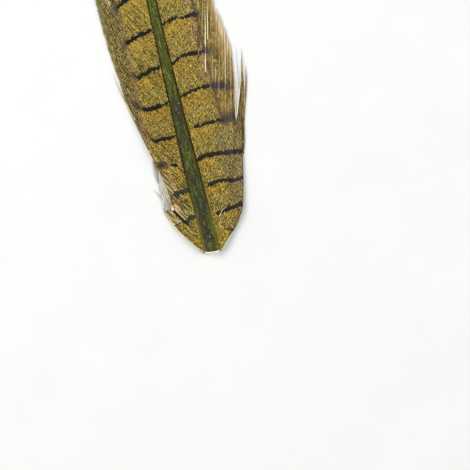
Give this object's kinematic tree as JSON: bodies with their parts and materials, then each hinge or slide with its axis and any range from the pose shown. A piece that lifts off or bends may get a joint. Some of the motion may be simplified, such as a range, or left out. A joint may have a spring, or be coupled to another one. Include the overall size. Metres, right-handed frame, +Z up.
{
  "type": "pheasant tail feather",
  "caption": "Cut side tail feather of a pheasant: a tapering shaft with a barred vane of barbs on each side, narrowing to a point, the wider vane's margin frayed.",
  "frame": {"origin": "the middle of the bounding box in X and Y, on the surface that the feather lies on", "axes": "+Y from the cut butt towards the tip, +Z up out of the feather's upper side, +X towards the wider vane"},
  "size_m": [0.0448, 0.2658, 0.0037],
  "materials": {
    "shaft_keratin": "satin",
    "vane_barbs": "matte"
  },
  "bodies": {
    "root": {"shaft": "shaft_keratin", "left_vane": "vane_barbs", "right_vane": "vane_barbs"}
  },
  "joints": []
}
